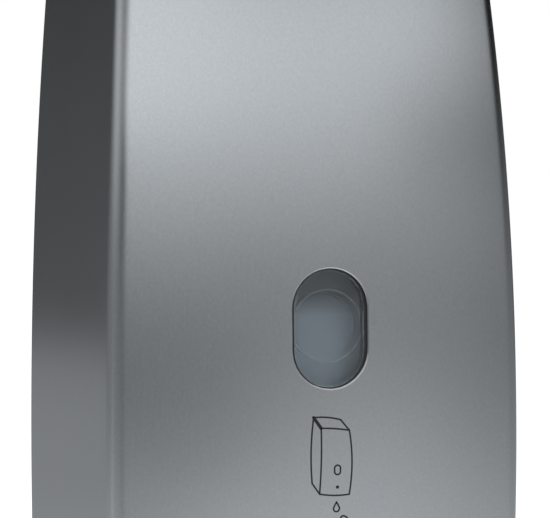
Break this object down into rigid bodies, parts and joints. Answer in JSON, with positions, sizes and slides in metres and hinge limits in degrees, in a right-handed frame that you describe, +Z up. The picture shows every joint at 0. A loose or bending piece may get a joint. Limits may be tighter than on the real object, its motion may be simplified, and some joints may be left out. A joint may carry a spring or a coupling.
{
  "type": "wall mounted soap dispenser",
  "caption": "Touch-free wall mounted soap dispenser with a folded steel cover, a pill shaped window, a lift-out tank and a roller pump.",
  "frame": {"origin": "middle of the four wall holes, on the back plate's rear face, which is the wall plane", "axes": "+X to the viewer's right, +Y into the wall, +Z up; the front faces -Y"},
  "size_m": [0.14, 0.119, 0.2797],
  "materials": {
    "brushed_stainless": "satin, fine vertical grain",
    "plain_steel": "mill finish",
    "bright_steel": "polished",
    "clear_plastic": "clear, glossy",
    "frosted_plastic": "frosted, translucent",
    "dark_plastic": "fine spark texture",
    "grey_plastic": "fine spark texture",
    "white_plastic": "satin",
    "black_rubber": "matt",
    "grey_rubber": "matt silicone",
    "silicone_tube": "milky, soft",
    "green_board": "solder mask",
    "black_gloss": "gloss",
    "bronze": "sintered",
    "brass": "machined",
    "nylon": "satin",
    "cell_jacket": "printed film",
    "smoked_lens": "smoked",
    "red_plastic": "gloss",
    "wire_jacket": "satin"
  },
  "bodies": {
    "wall_unit": {"back_plate": "plain_steel", "chassis": "grey_plastic", "base_tray": "grey_plastic", "fixing_screws": "bright_steel", "tank_seal": "black_rubber", "motor_plate": "plain_steel", "gear_case": "dark_plastic", "pump_housing": "white_plastic", "pump_cover": "clear_plastic", "pump_screws": "bright_steel", "shaft_bushes": "bronze", "motor": "plain_steel", "pump_tube": "silicone_tube", "tube_connectors": "white_plastic", "inlet_hose": "silicone_tube", "outlet_hose": "silicone_tube", "nozzle": "dark_plastic", "nozzle_valve": "grey_rubber", "control_board": "green_board", "board_components": "black_gloss", "sensor_board": "green_board", "sensor_leds": "clear_plastic", "sensor_lens": "smoked_lens", "battery_box": "dark_plastic", "battery_cells": "cell_jacket", "battery_contacts": "bright_steel", "switch_box": "dark_plastic", "power_switch": "black_gloss", "dose_pot": "dark_plastic", "battery_wires": "wire_jacket", "motor_wires": "wire_jacket", "sensor_wires": "wire_jacket", "switch_wires": "wire_jacket"},
    "cover": {"front_cover": "brushed_stainless", "window_gasket": "black_rubber", "window_pane": "clear_plastic", "window_retainer": "dark_plastic", "retainer_nuts": "bright_steel", "indicator_lens": "clear_plastic", "hinge_pins": "bright_steel", "lock_barrel": "bright_steel", "lock_nut": "bright_steel"},
    "lock": {"lock_plug": "bright_steel", "lock_cam": "plain_steel"},
    "tank": {"soap_tank": "frosted_plastic", "lid_pin": "bright_steel"},
    "lid": {"tank_lid": "dark_plastic", "lid_seal": "grey_rubber"},
    "rotor": {"pump_rotor": "nylon", "rotor_shaft": "bright_steel", "drive_gear": "nylon", "roller_pins": "bright_steel"},
    "roller_one": {"roller_1": "dark_plastic"},
    "roller_two": {"roller_2": "dark_plastic"},
    "roller_three": {"roller_3": "dark_plastic"},
    "pinion": {"motor_pinion": "brass"},
    "door": {"battery_door": "dark_plastic"},
    "rocker": {"power_rocker": "red_plastic"},
    "knob": {"dose_knob": "white_plastic"}
  },
  "joints": [
    {"name": "cover_hinge", "type": "hinge", "parent": "wall_unit", "child": "cover", "pos_m": [0, -0.009, -0.1265], "axis": [1, 0, 0], "range_deg": [0, 85]},
    {"name": "lock_turn", "type": "hinge", "parent": "cover", "child": "lock", "pos_m": [0, -0.016, 0.128], "axis": [0, 0, 1], "range_deg": [0, 90]},
    {"name": "tank_lift", "type": "slide", "parent": "wall_unit", "child": "tank", "axis": [0, 0, 1], "range_m": [0, 0.01]},
    {"name": "lid_hinge", "type": "hinge", "parent": "tank", "child": "lid", "pos_m": [0, -0.0395, 0.074], "axis": [-1, 0, 0], "range_deg": [0, 100]},
    {"name": "rotor_spin", "type": "hinge", "parent": "wall_unit", "child": "rotor", "pos_m": [0, -0.082, -0.095], "axis": [0, 1, 0], "continuous": true},
    {"name": "roller_one_spin", "type": "hinge", "parent": "rotor", "child": "roller_one", "pos_m": [0, -0.082, -0.0824], "axis": [0, 1, 0], "continuous": true},
    {"name": "roller_two_spin", "type": "hinge", "parent": "rotor", "child": "roller_two", "pos_m": [-0.01091, -0.082, -0.1013], "axis": [0, 1, 0], "continuous": true},
    {"name": "roller_three_spin", "type": "hinge", "parent": "rotor", "child": "roller_three", "pos_m": [0.01091, -0.082, -0.1013], "axis": [0, 1, 0], "continuous": true},
    {"name": "pinion_spin", "type": "hinge", "parent": "wall_unit", "child": "pinion", "pos_m": [0.02218, -0.065, -0.09812], "axis": [0, 1, 0], "continuous": true},
    {"name": "battery_door_slide", "type": "slide", "parent": "wall_unit", "child": "door", "axis": [0, 0, 1], "range_m": [0, 0.02]},
    {"name": "rocker_tip", "type": "hinge", "parent": "wall_unit", "child": "rocker", "pos_m": [0.047, -0.099, -0.078], "axis": [1, 0, 0], "range_deg": [-16, 0]},
    {"name": "knob_turn", "type": "hinge", "parent": "wall_unit", "child": "knob", "pos_m": [0.047, -0.101, -0.0975], "axis": [0, 1, 0], "range_deg": [-120, 120]}
  ],
  "couplings": [
    {"joint": "pinion_spin", "follows": "rotor_spin", "ratio": -3},
    {"joint": "roller_one_spin", "follows": "rotor_spin", "ratio": -3.56},
    {"joint": "roller_two_spin", "follows": "rotor_spin", "ratio": -3.56},
    {"joint": "roller_three_spin", "follows": "rotor_spin", "ratio": -3.56}
  ]
}
